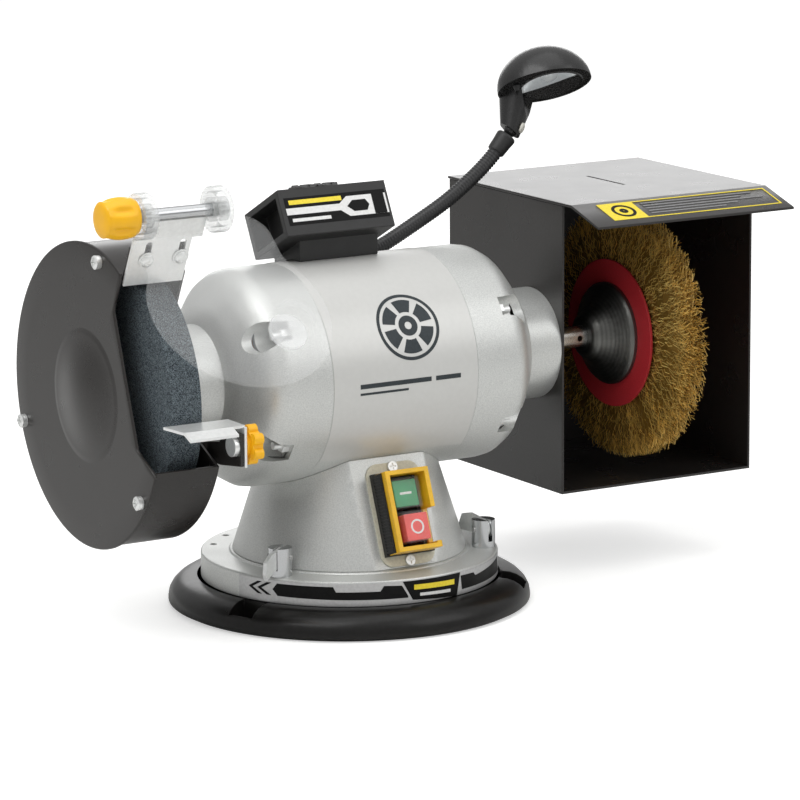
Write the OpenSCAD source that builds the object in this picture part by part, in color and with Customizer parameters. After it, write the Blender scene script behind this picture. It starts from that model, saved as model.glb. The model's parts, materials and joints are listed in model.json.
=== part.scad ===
// Bench grinder with a turntable base: a 200 mm grinding wheel on the left, a 200 mm wire brush in a
// guard box on the right, an eye shield, a tool rest, a wheel dresser in its holder and a work lamp.
// Frame: +X along the shaft towards the brush, -Y towards the operator, +Z up. The origin is the centre
// of the base ring on the bench.

/* [Motor] */
// Height of the shaft above the bench
shaft_h = 184; // [182:1:186]
// Middle of the motor along the shaft
motor_x = 2.5; // [1.5:0.5:3.5]
// Outer diameter of the motor housing
housing_d = 166; // [164:1:166]
// Length of the housing between its two seams
housing_len = 127; // [125:1:128]
// Diameter of the bearing neck at each end
neck_d = 87; // [84:1:88]
// Diameter of the rotor shaft
shaft_d = 17; // [16:0.5:17]

/* [Wheel and brush] */
// Diameter of the grinding wheel
wheel_d = 200; // [180:5:200]
// Thickness of the grinding wheel
wheel_w = 25; // [20:1:25]
// Middle of the grinding wheel along the shaft
wheel_x = -194.5; // [-195:0.5:-194]
// Diameter of the wire brush
brush_d = 200; // [180:5:200]
// Left and right faces of the wire brush
brush_x = [242, 268];
// Diameter of the brush's clamping flange
brush_flange_d = 117; // [110:1:118]

/* [Base] */
// Outer diameter of the base ring
base_d = 279; // [276:1:280]
// Diameter of the turntable disc
disc_d = 228.4; // [226:0.1:228.4]
// Height of the turntable's top face
disc_top = 40.5; // [40:0.5:41]
// Diameter of the circle of bench bolts
bench_pcd = 252; // [250:1:254]
// Diameter of each bench bolt hole
bench_hole_d = 9; // [7:0.5:10]

/* [Guards] */
// Outer diameter of the wheel guard
guard_d = 230; // [228:1:232]
// Thickness of the sheet metal in both guards
sheet = 2; // [1.5:0.5:2]
// Left and right faces of the brush guard box
box_x = [167, 346];
// Front and back faces of the brush guard box
box_y = [-44, 121];
// Bottom and top faces of the brush guard box
box_z = [70, 297.5];

/* [Hidden] */
NODES = ["base_ring", "pivot_bolt", "thrust_washer", "pivot_nut", "turntable_disc", "disc_label",
    "pedestal", "pedestal_screws", "clamp_posts", "clamp_pins", "clamp_lever_left",
    "clamp_lever_right", "clamp_lever_back", "motor_housing", "motor_label", "end_bell_left",
    "end_bell_right", "tie_bolts", "stator_core", "windings", "bearings", "capacitor", "cable_gland",
    "shaft", "rotor_core", "grinding_wheel", "wheel_flanges", "shaft_nuts", "brush_flanges",
    "wire_brush", "brush_cup", "wheel_guard", "wheel_guard_cover", "guard_screws",
    "brush_guard_box", "brush_guard_top", "switch_plate", "switch_screws",
    "switch_body", "switch_frame", "start_button", "stop_button", "shield_bracket", "shield_rod",
    "shield_screws", "eye_shield", "shield_knob", "tool_rest_arm", "tool_rest", "tool_rest_bolt",
    "tool_rest_knob", "dresser_holder", "dresser_body", "dresser_cutters", "lamp_foot",
    "gooseneck_lower", "gooseneck_upper", "lamp_hood", "lamp_reflector", "lamp_switch"];
assert(len(NODES) <= 60);

$fn = 96;
silver = [0.72, 0.73, 0.72];
black = [0.13, 0.13, 0.13];
amber = [1.0, 0.62, 0.05];
zinc = [0.8, 0.81, 0.82];
steel = [0.6, 0.6, 0.6];
cream = [0.9, 0.88, 0.78];

housing_r = housing_d / 2;
shaft_r = shaft_d / 2;
half_len = housing_len / 2;
label_t = 0.4;

// ---------------------------------------------------------------- helpers

// A ring or tube standing on z = 0
module tube(r_out, r_in, h) {
    difference() {
        cylinder(r = r_out, h = h);
        translate([0, 0, -1]) cylinder(r = r_in, h = h + 2);
    }
}

// Moves to the shaft line at x, and turns the children's z axis along +X
module on_shaft(x) translate([x, 0, shaft_h]) rotate([0, 90, 0]) children();

// A cylinder whose axis is parallel to X, from x0 to x1
module rod_x(x0, x1, y, z, r) translate([x0, y, z]) rotate([0, 90, 0]) cylinder(r = r, h = x1 - x0);

// A box between two corners
module block(low, high) translate(low) cube(high - low);

// A rectangle with round corners, centred
module rounded(w, h, r) {
    union() {
        square([w - 2 * r, h], center = true);
        square([w, h - 2 * r], center = true);
        for (sx = [-1, 1], sy = [-1, 1]) translate([sx * (w / 2 - r), sy * (h / 2 - r)]) circle(r = r);
    }
}

// Copies at equal turns about the vertical axis
module turned_about_z(angles, radius) {
    for (a = angles) rotate([0, 0, a]) translate([radius, 0, 0]) children();
}

// ---------------------------------------------------------------- base

ring_top = 21.5;
disc_bottom = 20;
disc_r = disc_d / 2;
base_r = base_d / 2;
crest_r = 118.5;
bench_angles = [202.5, 322.5, 82.5];
hub_r = 26;
washer_t = 1;
web_z = [8, 12];
hub_top = 15;
disc_plate_t = 5;
pivot_r = 8;

module base_ring() color(black) difference() {
    rotate_extrude() polygon(concat([[base_r - 5, 0], [base_r, 2.5]],
        [for (t = [0:15:90]) [crest_r + (base_r - crest_r) * cos(t), 5 + (ring_top - 5) * sin(t)]],
        [[disc_r + 2.4, ring_top], [disc_r + 1.6, ring_top - 1.5], [disc_r + 1.6, web_z[1]],
        [hub_r, web_z[1]], [hub_r, hub_top], [pivot_r + 0.5, hub_top], [pivot_r + 0.5, web_z[0] - 2],
        [hub_r, web_z[0] - 2], [hub_r, web_z[0]], [disc_r - 6, web_z[0]], [disc_r - 6, 0]]));
    turned_about_z(bench_angles, bench_pcd / 2) {
        translate([0, 0, -1]) cylinder(d = bench_hole_d, h = 30);
        translate([-9, -11, 7]) cube([19, 22, 20]);
    }
    turned_about_z([27, 147, 267], 70) translate([0, 0, -1]) cylinder(r = 18, h = 20);
}

module pivot_bolt() color(steel) union() {
    translate([0, 0, 1]) cylinder(r = 12, h = 5, $fn = 6);
    translate([0, 0, 6]) cylinder(r = pivot_r, h = 42);
}

module thrust_washer() color("ivory") translate([0, 0, hub_top]) tube(hub_r - 1, pivot_r + 0.5, washer_t);

disc_z0 = hub_top + washer_t + 0.3;

module pivot_nut() color(steel) difference() {
    translate([0, 0, disc_top + 1.9]) cylinder(r = 13, h = 5, $fn = 6);
    cylinder(r = pivot_r, h = 60);
}

// ---------------------------------------------------------------- turntable and pedestal

foot_r = 91.5;
foot_t = 1.5;
foot_top = disc_top + foot_t;
clamp_angles = [209.5, 329.5, 89.5];
clamp_radius = 103.5;
index_angles = [125, 142];
taper = 0.318;
ped_wall = 5;
panel_lean = 20.65;
panel_top = [motor_x, -56, 122];
panel_mid = -44.6;
gland_at = [25, 62];

module turntable_disc() color(silver) difference() {
    rotate_extrude() polygon([
        [disc_r, disc_bottom], [disc_r, disc_top - 1], [disc_r - 1, disc_top], [foot_r + 1, disc_top],
        [foot_r, foot_top], [pivot_r + 0.1, foot_top], [pivot_r + 0.1, disc_z0], [hub_r - 1, disc_z0],
        [hub_r - 1, disc_top - disc_plate_t], [disc_r - 5, disc_top - disc_plate_t],
        [disc_r - 5, disc_bottom]]);
    turned_about_z(clamp_angles, clamp_radius) translate([0, 0, 10]) cylinder(r = 3, h = 40);
    turned_about_z(index_angles, clamp_radius + 2) translate([0, 0, 10]) cylinder(r = 2.5, h = 40);
    turned_about_z([45, 135, 225, 315], 78) translate([0, 0, 10]) cylinder(r = 2.6, h = 40);
}

// A self-adhesive band round the front of the disc
module disc_label() color([0.85, 0.85, 0.85])
    translate([0, 0, disc_bottom + 1]) rotate_extrude(angle = 152, start = 193)
        translate([disc_r, 0]) square([label_t, disc_top - disc_bottom - 2.5]);

// The cone of the pedestal, drawn in by a wall thickness on the inside
module pedestal_cone(inset) intersection() {
    translate([0, 0, foot_top - inset])
        cylinder(r1 = 90 - inset, r2 = 90 - inset - taper * 95, h = 95);
    translate([0, panel_top[1] + inset, panel_top[2]]) rotate([90 - panel_lean, 0, 0])
        translate([-150, -150, -200]) cube([300, 250, 200]);
}

module pedestal() color(silver) difference() {
    union() {
        difference() {
            pedestal_cone(0);
            pedestal_cone(ped_wall);
        }
        turned_about_z([45, 135, 225, 315], 78) translate([0, 0, foot_top]) cylinder(r = 7, h = 15);
    }
    on_shaft(-150) cylinder(r = housing_r, h = 300);
    on_panel() translate([-17, -31, -12]) cube([34, 62, 20]);
    on_panel() for (s = [-1, 1]) translate([0, s * 36, -12]) cylinder(r = 2, h = 20);
    translate([gland_at[0], 60, gland_at[1]]) rotate([-90, 0, 0]) cylinder(r = 8, h = 40);
    turned_about_z([45, 135, 225, 315], 78) translate([0, 0, 30]) cylinder(r = 2.6, h = 20);
}

// Moves to the middle of the sloping switch panel: x across, y up the slope, z out of it
module on_panel() translate(panel_top) rotate([90 - panel_lean, 0, 0])
    translate([0, panel_mid, 0]) children();

module pedestal_screws() color(steel) turned_about_z([45, 135, 225, 315], 78) {
    translate([0, 0, disc_top - disc_plate_t - 3]) cylinder(r = 4.5, h = 3);
    translate([0, 0, disc_top - disc_plate_t]) cylinder(r = 2.6, h = 12);
}

// ---------------------------------------------------------------- turntable clamps

post_r = 9;
post_h = 21.5;
lever_t = 3;
lever_turns = [215, 96, 90];
cam_z = disc_top + 14;

// Moves to one clamp, with +X along its slot
module at_clamp(i) rotate([0, 0, clamp_angles[i]]) translate([clamp_radius, 0, 0])
    rotate([0, 0, lever_turns[i] - clamp_angles[i]]) children();

module clamp_posts() color(zinc) for (i = [0:2]) at_clamp(i) difference() {
    union() {
        translate([0, 0, disc_top]) cylinder(r = post_r, h = post_h);
        translate([0, 0, disc_top - 16]) cylinder(r = 3, h = 16);
        translate([0, 0, disc_top - disc_plate_t - 6]) cylinder(r = 5.4, h = 6, $fn = 6);
    }
    translate([-post_r - 1, -lever_t / 2 - 0.4, disc_top + 5]) cube([2 * post_r + 2, lever_t + 0.8, 30]);
    translate([0, 20, cam_z]) rotate([90, 0, 0]) cylinder(r = 2, h = 40);
}

module clamp_pins() color(steel) for (i = [0:2]) at_clamp(i)
    translate([0, post_r + 1, cam_z]) rotate([90, 0, 0]) cylinder(r = 2, h = 2 * post_r + 2);

// A cam blade on its cross pin, pointing along +X at the given droop below the horizontal
module clamp_lever(i, droop) color(zinc) at_clamp(i) translate([0, 0, cam_z]) rotate([0, droop, 0])
    difference() {
        rotate([90, 0, 0]) translate([0, 0, -lever_t / 2]) linear_extrude(lever_t) union() {
            circle(r = 7);
            polygon([[0, 7], [17, 7], [26, 3.5], [28.5, -5], [26.5, -10], [21, -8.5], [9, -7], [0, -7]]);
        }
        translate([0, 10, 0]) rotate([90, 0, 0]) cylinder(r = 2.05, h = 20);
    }

module clamp_lever_left() clamp_lever(0, 6);
module clamp_lever_right() clamp_lever(1, -9);
module clamp_lever_back() clamp_lever(2, 6);

// ---------------------------------------------------------------- motor

bolt_circle = 74;
bolt_angles = [-34, 34, 146, 214];
stator_r = housing_r - 4;
bearing_r = 20;
bearing_w = 12;
bearing_u = 138;
neck_r = neck_d / 2;
neck_left = 173;
neck_right = 164.5;

// Places children at each tie bolt; the angle is measured up from the front
module at_tie_bolts() for (a = bolt_angles) rotate([0, 0, 180 + a]) translate([0, bolt_circle, 0]) children();

// Places children at each screw that holds a guard to a neck
module at_neck_screws() for (a = [0, 120, 240]) rotate([0, 0, a]) translate([31, 0, 0]) children();

module motor_housing() color(silver) on_shaft(motor_x - half_len) tube(housing_r, housing_r - 4, housing_len);

module motor_label() color([0.9, 0.9, 0.87]) on_shaft(motor_x - half_len + 0.5)
    rotate_extrude(angle = 147, start = 168) translate([housing_r, 0]) square([label_t, housing_len - 1]);

// Profile of an end bell from its seam to the end of its neck: [radius, distance from the middle]
function bell_profile(neck_end) = [
    [housing_r - 5, half_len], [housing_r, half_len], [housing_r, 97], [housing_r - 1, 104],
    [housing_r - 5, 111], [housing_r - 13, 118], [housing_r - 21, 124], [housing_r - 28, 129.5],
    [neck_r + 4.5, 133.5], [neck_r + 0.5, 134.5], [neck_r, 136], [neck_r, neck_end],
    [12, neck_end], [12, bearing_u + bearing_w],
    [bearing_r, bearing_u + bearing_w], [bearing_r, bearing_u], [neck_r - 5, 134], [neck_r - 5, 131],
    [housing_r - 34, 126], [housing_r - 27, 120], [housing_r - 19, 114], [housing_r - 10, 106],
    [housing_r - 6, 100], [housing_r - 5, 95]];

module end_bell(neck_end) difference() {
    union() {
        rotate_extrude() polygon(bell_profile(neck_end));
        intersection() {
            at_tie_bolts() translate([0, 0, 84]) cylinder(r = 15, h = 28);
            translate([0, 0, half_len]) cylinder(r1 = housing_r - 1, r2 = housing_r - 12, h = 54);
        }
    }
    at_tie_bolts() {
        translate([0, 0, 60]) cylinder(r = 3.3, h = 60);
        translate([0, 0, 92]) cylinder(r = 11.5, h = 60);
    }
    at_neck_screws() translate([0, 0, neck_end - 10]) cylinder(r = 2.5, h = 20);
}

module end_bell_left() color(silver) on_shaft(motor_x) rotate([180, 0, 0]) end_bell(neck_left);
module end_bell_right() color(silver) on_shaft(motor_x) end_bell(neck_right);

module tie_bolts() color(zinc) on_shaft(motor_x) at_tie_bolts() {
    translate([0, 0, -104]) cylinder(r = 3, h = 208);
    for (z = [-97.5, 92]) translate([0, 0, z]) difference() {
        cylinder(r = 5.8, h = 5.5, $fn = 6);
        translate([0, 0, -1]) cylinder(r = 3, h = 8);
    }
}

module stator_core() color([0.45, 0.46, 0.48]) on_shaft(motor_x - 35) difference() {
    tube(stator_r, 41, 70);
    at_tie_bolts() translate([0, 0, -1]) cylinder(r = 6, h = 80);
}

module windings() color([0.75, 0.4, 0.15]) on_shaft(motor_x) for (z = [-62, 37])
    translate([0, 0, z]) tube(66, 44, 25);

module bearings() color(steel) on_shaft(motor_x) for (z = [-bearing_u - bearing_w, bearing_u])
    translate([0, 0, z]) tube(bearing_r, shaft_r + 0.05, bearing_w);

module capacitor() color(black) translate([-38, 15, foot_top]) cylinder(r = 18, h = 52);

module cable_gland() color(black) translate([gland_at[0], 0, gland_at[1]]) rotate([-90, 0, 0]) difference() {
    union() {
        translate([0, 0, 68]) cylinder(r = 8, h = 20);
        translate([0, 0, 87]) cylinder(r = 11, h = 8, $fn = 6);
        translate([0, 0, 95]) cylinder(r1 = 9, r2 = 6.5, h = 8);
    }
    translate([0, 0, 60]) cylinder(r = 4, h = 60);
}

// ---------------------------------------------------------------- rotor

shaft_end = [-216, 281];
flange_w = 3.5;
cup_x = 214;

module shaft() color(steel) difference() {
    union() {
        rod_x(shaft_end[0], shaft_end[1], 0, shaft_h, shaft_r - 1.5);
        rod_x(wheel_x + wheel_w / 2 + flange_w, brush_x[0] - 2, 0, shaft_h, shaft_r);
    }
    translate([207, -20, shaft_h]) rotate([-90, 0, 0]) cylinder(r = 2.3, h = 40);
}

module rotor_core() color([0.5, 0.5, 0.52]) on_shaft(motor_x - 35) tube(40, shaft_r, 70);

module grinding_wheel() color([0.35, 0.4, 0.43]) on_shaft(wheel_x - wheel_w / 2)
    tube(wheel_d / 2, shaft_r - 1.5, wheel_w);

module wheel_flanges() color(steel) {
    on_shaft(wheel_x + wheel_w / 2) tube(32, shaft_r - 1.5, flange_w);
    on_shaft(wheel_x - wheel_w / 2 - flange_w) tube(32, shaft_r - 1.5, flange_w);
}

module shaft_nuts() color(steel) for (x = [wheel_x - wheel_w / 2 - flange_w - 7, brush_x[1] + 3])
    on_shaft(x) difference() {
        cylinder(r = 14, h = 7, $fn = 6);
        translate([0, 0, -1]) cylinder(r = shaft_r - 1.5, h = 10);
    }

module brush_flanges() color([0.62, 0.08, 0.1]) {
    on_shaft(brush_x[0] - 2) tube(brush_flange_d / 2, shaft_r - 1.5, 2);
    on_shaft(brush_x[1]) tube(brush_flange_d / 2, shaft_r - 1.5, 3);
}

module wire_brush() color([0.75, 0.6, 0.25]) on_shaft(brush_x[0])
    tube(brush_d / 2, shaft_r - 1.5, brush_x[1] - brush_x[0]);

// A dished cup that clamps the brush against its flange
module brush_cup() color([0.33, 0.33, 0.34]) on_shaft(0) rotate_extrude() polygon([
    [shaft_r, cup_x], [14.5, cup_x], [17, cup_x + 2], [20, cup_x + 6], [27, cup_x + 13],
    [35, cup_x + 18.5], [39, cup_x + 21], [40.5, cup_x + 23], [40.5, brush_x[0] - 2],
    [37, brush_x[0] - 2], [33, cup_x + 20], [24, cup_x + 13], [shaft_r, cup_x + 9]]);

// ---------------------------------------------------------------- wheel guard

guard_r = guard_d / 2;
guard_x = [-223, -171];
notch_lift = 19;
notch_depth = 66;
notch_half = 52.5;
guard_open = [-21, 59.8];
guard_wrap = 360 - guard_open[1] + guard_open[0];
dome_r = 49;
dome_h = 8;
cover_bolt_r = 107;
cover_bolt_angles = [-19.8, 103.9, 217.6];

// The round plate of the guard with its front notch, drawn with the front towards +y
module guard_outline(r) difference() {
    circle(r = r);
    rotate(-notch_lift) polygon([[-notch_half, notch_depth], [notch_half, notch_depth],
        [notch_half + 60, notch_depth + 60], [-notch_half - 60, notch_depth + 60]]);
}

// Turns a drawing with front along +y into the frame of the shaft: front to -Y, up to +Z
module face_front() rotate([0, 0, 180]) children();

module wheel_guard() color(black) {
    difference() {
        on_shaft(guard_x[1] - sheet) linear_extrude(sheet) guard_plate_outline();
        on_shaft(-200) cylinder(r = 12, h = 60);
        on_shaft(-200) at_neck_screws() cylinder(r = 2.5, h = 60);
    }
    on_shaft(guard_x[0]) rotate_extrude(angle = guard_wrap, start = 270 - guard_open[0])
        translate([guard_r - 2 - sheet, 0]) square([sheet, guard_x[1] - guard_x[0] - sheet]);
    guard_tab();
}

module guard_plate_outline() face_front() guard_outline(guard_r - 2);

// The tab that carries the eye shield's bracket
module guard_tab() on_bracket() difference() {
    translate([-222, 3, -sheet - 0.3]) cube([50, 29, sheet]);
    for (x = bracket_screw_x) translate([x, bracket_screw_v, -10]) cylinder(r = 2, h = 20);
}

module wheel_guard_cover() color(black) {
    difference() {
        on_shaft(guard_x[0] - sheet) linear_extrude(sheet) face_front() guard_outline(guard_r);
        on_shaft(guard_x[0] - sheet - 1) cylinder(r = dome_r - 1, h = sheet + 2);
        cover_bolts() cylinder(r = 2, h = 20, center = true);
    }
    on_shaft(guard_x[0]) rotate([180, 0, 0]) rotate_extrude() polygon([
        [dome_r - 1, 0], [dome_r - 1, sheet], [dome_r - 8, sheet + 1.5], [dome_r - 22, sheet + 4.5],
        [dome_r - 36, dome_h], [0, dome_h + 1], [0, dome_h - 1], [dome_r - 36, dome_h - sheet],
        [dome_r - 22, 4.5], [dome_r - 8, 1.5]]);
}

// The places of the cover's screws; the angle runs up from the back
module cover_bolts() for (a = cover_bolt_angles)
    translate([guard_x[0], cover_bolt_r * cos(a), shaft_h + cover_bolt_r * sin(a)])
        rotate([0, 90, 0]) children();

module guard_screws() color(zinc) {
    cover_bolts() {
        translate([0, 0, -sheet - 3]) cylinder(r = 5, h = 3);
        translate([0, 0, -sheet]) cylinder(r = 2, h = 9);
    }
    on_shaft(guard_x[1] - sheet) at_neck_screws() {
        translate([0, 0, -3]) cylinder(r = 4.5, h = 3);
        cylinder(r = 2.5, h = 11);
    }
    on_shaft(box_x[0] + sheet) at_neck_screws() {
        cylinder(r = 4.5, h = 3);
        translate([0, 0, -12]) cylinder(r = 2.5, h = 12);
    }
}

// ---------------------------------------------------------------- brush guard

flap_run = 38;
flap_drop = 12;
flap_y = -58;
lid_x = [165.5, 349];
lid_z = 298;

module brush_guard_box() color(black) difference() {
    block([box_x[0], box_y[0], box_z[0]], [box_x[1], box_y[1], box_z[1]]);
    block([box_x[0] + sheet, box_y[0] - 1, box_z[0] + sheet],
        [box_x[1] - sheet, box_y[1] - sheet, box_z[1] + 1]);
    rod_x(box_x[0] - 1, box_x[0] + 10, 0, shaft_h, shaft_r + 3);
    on_shaft(box_x[0] - 1) at_neck_screws() cylinder(r = 2.5, h = 10);
}

// The lid with its front visor flap bent down over the brush
module brush_guard_top() color(black) difference() {
    translate([lid_x[0], 0, lid_z]) rotate([90, 0, 90]) linear_extrude(lid_x[1] - lid_x[0]) polygon([
        [box_y[1], 0], [box_y[1], sheet], [flap_y, sheet], [flap_y - flap_run, sheet - flap_drop],
        [flap_y - flap_run, -flap_drop], [flap_y, 0]]);
    block([257, 6, 290], [259, 59, 310]);
}

// ---------------------------------------------------------------- switch

frame_h = 20;
button = 24;

module switch_plate() color(cream) on_panel() difference() {
    linear_extrude(1.5) rounded(47, 79, 10);
    translate([-17, -31, -1]) cube([34, 62, 4]);
    for (s = [-1, 1]) translate([0, s * 36, -1]) cylinder(r = 2, h = 5);
}

module switch_screws() color(zinc) on_panel() for (s = [-1, 1]) translate([0, s * 36, 0]) {
    difference() {
        translate([0, 0, 1.5]) cylinder(r = 4.2, h = 1.8);
        translate([0, 0, 2.6]) linear_extrude(3) square([5, 0.9], center = true);
        translate([0, 0, 2.6]) linear_extrude(3) square([0.9, 5], center = true);
    }
    translate([0, 0, -8]) cylinder(r = 2, h = 9.5);
}

module switch_body() color(black) on_panel() difference() {
    union() {
        translate([-16.5, -30.5, -26]) cube([33, 61, 27.5]);
        translate([-21, -31.7, 1.5]) cube([42, 63.4, 4.5]);
    }
    for (v = [13.5, -13.5]) translate([-12.5, v - 12.5, -16]) cube([25, 25, 30]);
}

module switch_frame() color("gold") on_panel() difference() {
    translate([-19, -31, 6]) cube([38, 62, frame_h - 4]);
    translate([-15, -27.5, 5]) cube([30, 55, frame_h]);
    translate([10, -26, 9]) cube([20, 26, frame_h]);
}

// A square push button with a clear cap over it; top is its height above the panel
module push_button(v, top) on_panel() union() {
    translate([-button / 2, v - button / 2, -6]) cube([button, button, top + 6]);
    translate([-4, v - 4, -11]) cube([8, 8, 6]);
}

module start_button() color([0.2, 0.6, 0.35]) push_button(13.5, 17);
module stop_button() color([0.85, 0.25, 0.25]) push_button(-13.5, 25);

// ---------------------------------------------------------------- eye shield

bracket_lean = 115.9;
bracket_foot = [0, -55, 275];
bracket_t = 2;
bracket_screw_x = [-208, -180];
bracket_screw_v = 22;
slot_len = 17;
rod_axis = [-83, 329];
rod_r = 5;
knob_x = -254;
ear_r = 17;
ear_w = 10;
ear_x = [-224.5, -163];
shield_mid = -181.5;
shield_t = 3;
shield_lean = 50;
belly_r = 69.5;
belly_s = 97;

// Moves to the bracket's lower edge: x along the shaft, y up the plate, z out towards the front
module on_bracket() translate(bracket_foot) rotate([bracket_lean, 0, 0]) children();

module shield_bracket() color(zinc) difference() {
    on_bracket() difference() {
        union() {
            translate([-222, 0, 0]) cube([48.6, 40, bracket_t]);
            translate([-213, 38, 0]) cube([48, 24, bracket_t]);
        }
        for (x = bracket_screw_x) {
            translate([x - 2.6, bracket_screw_v - 4.5, -1]) cube([5.2, slot_len, 5]);
            translate([x, bracket_screw_v - 4.5, -1]) cylinder(r = 2.6, h = 5);
            translate([x, bracket_screw_v - 4.5 + slot_len, -1]) cylinder(r = 2.6, h = 5);
        }
    }
    rod_x(-300, -100, rod_axis[0], rod_axis[1], rod_r);
}

module shield_rod() color(zinc) rod_x(knob_x + 3, -150, rod_axis[0], rod_axis[1], rod_r);

module shield_screws() color(zinc) on_bracket() for (x = bracket_screw_x) translate([x, bracket_screw_v, 0]) {
    translate([0, 0, bracket_t + 0.3]) cylinder(r = 6.5, h = 1);
    translate([0, 0, bracket_t + 1.3]) cylinder(r = 4.2, h = 2.6);
    translate([0, 0, -sheet - 5]) cylinder(r = 2, h = sheet + 5 + bracket_t + 0.4);
}

// Moves to the rod with x along the shaft and y down the leaning shield
module on_shield() translate([0, rod_axis[0], rod_axis[1]]) rotate([-90 - shield_lean, 0, 0]) children();

module shield_outline() difference() {
    offset(r = -22) offset(r = 22) union() {
        translate([shield_mid, belly_s]) circle(r = belly_r);
        translate([shield_mid, 44]) rounded(110, 72, 22);
    }
    translate([-214, -20]) square([ear_x[1] + 214, 42]);
}

module eye_shield() color([0.9, 0.95, 1.0, 0.4]) difference() {
    union() {
        on_shield() translate([0, 0, -shield_t / 2]) linear_extrude(shield_t) shield_outline();
        for (x = ear_x) rod_x(x, x + ear_w, rod_axis[0], rod_axis[1], ear_r);
        on_shield() translate([-145, 112, -shield_t / 2 - 7]) cylinder(r = 15, h = 7.5);
    }
    rod_x(-300, -100, rod_axis[0], rod_axis[1], rod_r + 0.05);
}

module shield_knob() color(amber) difference() {
    translate([knob_x, rod_axis[0], rod_axis[1]]) rotate([0, 90, 0]) union() {
        cylinder(r1 = 13, r2 = 15.5, h = 3);
        translate([0, 0, 3]) cylinder(r = 15.5, h = 19);
        translate([0, 0, 22]) cylinder(r1 = 15.5, r2 = 11, h = 6);
    }
    for (a = [0:60:359]) translate([knob_x, rod_axis[0], rod_axis[1]]) rotate([0, 90, 0]) rotate([0, 0, a])
        translate([19.5, 0, 4]) cylinder(r = 5.5, h = 40);
    rod_x(knob_x + 2, -200, rod_axis[0], rod_axis[1], rod_r + 0.05);
}

// ---------------------------------------------------------------- tool rest

rest_axis = [-122, 161];
rest_top = 176.9;
arm_x = [-167, -164];
flange_x = [-163.6, -161.6];

// The bracket from the guard's back plate out to the rest
module tool_rest_arm() color(black) difference() {
    union() {
        translate([arm_x[0], 0, 0]) rotate([90, 0, 90]) linear_extrude(arm_x[1] - arm_x[0]) polygon([
            [-130, 147], [-130, 171], [-108, 171], [-98, 160], [-80, 157], [-58, 157], [-58, 143],
            [-100, 143]]);
        block([guard_x[1], -80, 143], [arm_x[0], -58, 157]);
    }
    rod_x(-180, -150, rest_axis[0], rest_axis[1], 3.3);
}

module tool_rest() color(zinc) difference() {
    union() {
        translate([0, 0, rest_top - 2]) linear_extrude(2) polygon([
            [-215, -101.8], [flange_x[1], -101.8], [flange_x[1], -127], [-172, -128], [-212, -128]]);
        translate([-212, 0, 0]) rotate([90, 0, 90]) linear_extrude(40) polygon([
            [-127.5, rest_top - 2], [-127.5, rest_top], [-137, rest_top - 4], [-137, rest_top - 6]]);
        block([flange_x[0], -130, 146], [flange_x[1], -101.8, rest_top - 1]);
    }
    rod_x(-180, -150, rest_axis[0], rest_axis[1], 3.6);
    rod_x(-180, -150, rest_axis[0] + 14, rest_axis[1], 3.6);
    block([-170, rest_axis[0], rest_axis[1] - 3.6], [-150, rest_axis[0] + 14, rest_axis[1] + 3.6]);
}

module tool_rest_bolt() color(steel) {
    rod_x(arm_x[0] - 4, arm_x[0], rest_axis[0], rest_axis[1], 7.5);
    rod_x(arm_x[0], -147, rest_axis[0], rest_axis[1], 3);
}

module tool_rest_knob() color(amber) difference() {
    translate([flange_x[1] + 0.4, rest_axis[0], rest_axis[1]]) rotate([0, 90, 0]) union() {
        cylinder(r = 8, h = 12);
        translate([0, 0, 3]) cylinder(r = 10.8, h = 8.5);
        for (a = [0:60:359]) rotate([0, 0, a]) translate([10.6, 0, 3.5]) cylinder(r = 4.3, h = 7.5);
    }
    rod_x(-165, -145, rest_axis[0], rest_axis[1], 3.05);
}

// ---------------------------------------------------------------- wheel dresser and its holder

holder_x = [-61, 33.5];
holder_tilt = -27;
holder_edge = [0, 323.5];
holder_h = 37;
holder_deep = 56;
pocket_x = [-42, 10];
pocket_deep = [8, 38];

// Moves to the holder's front top edge: x along the shaft, y backwards into it, z up
module on_holder() translate([0, holder_edge[0], holder_edge[1]]) rotate([holder_tilt, 0, 0]) children();

module dresser_holder() color(black) difference() {
    union() {
        on_holder() block([holder_x[0], 0, -holder_h], [holder_x[1], holder_deep, 0]);
        translate([-43, 0, 0]) rotate([90, 0, 90]) linear_extrude(69) polygon([
            [-3, 255], [-3, 292], [36, 275], [36, 255]]);
    }
    on_shaft(-100) cylinder(r = housing_r + label_t, h = 200);
    on_holder() block([pocket_x[0], pocket_deep[0], -30], [pocket_x[1], pocket_deep[1], 1]);
    on_holder() block([holder_x[0] - 1, 5, -holder_h + 5], [-45, holder_deep - 5, -5]);
}

// The dresser's forked handle, standing in the holder's pocket
module dresser_body() color([0.25, 0.25, 0.25]) on_holder() difference() {
    union() {
        block([-40, 12, -29], [8, 34, -17]);
        for (x = [-40, 4]) block([x, 12, -18], [x + 4, 34, 3]);
    }
    translate([-50, 23, -2]) rotate([0, 90, 0]) cylinder(r = 2.5, h = 70);
}

// A pack of toothed cutter discs on their axle
module dresser_cutters() color([0.3, 0.3, 0.3]) on_holder() translate([0, 23, -2]) rotate([0, 90, 0]) {
    translate([0, 0, -41]) cylinder(r = 2.45, h = 50);
    for (i = [0:5]) translate([0, 0, -35 + i * 6.5]) difference() {
        cylinder(r = 11, h = 5);
        for (a = [0:30:359]) rotate([0, 0, a + i * 10]) translate([11.5, 0, -1]) cylinder(r = 2, h = 8);
    }
}

// ---------------------------------------------------------------- work lamp

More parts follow.
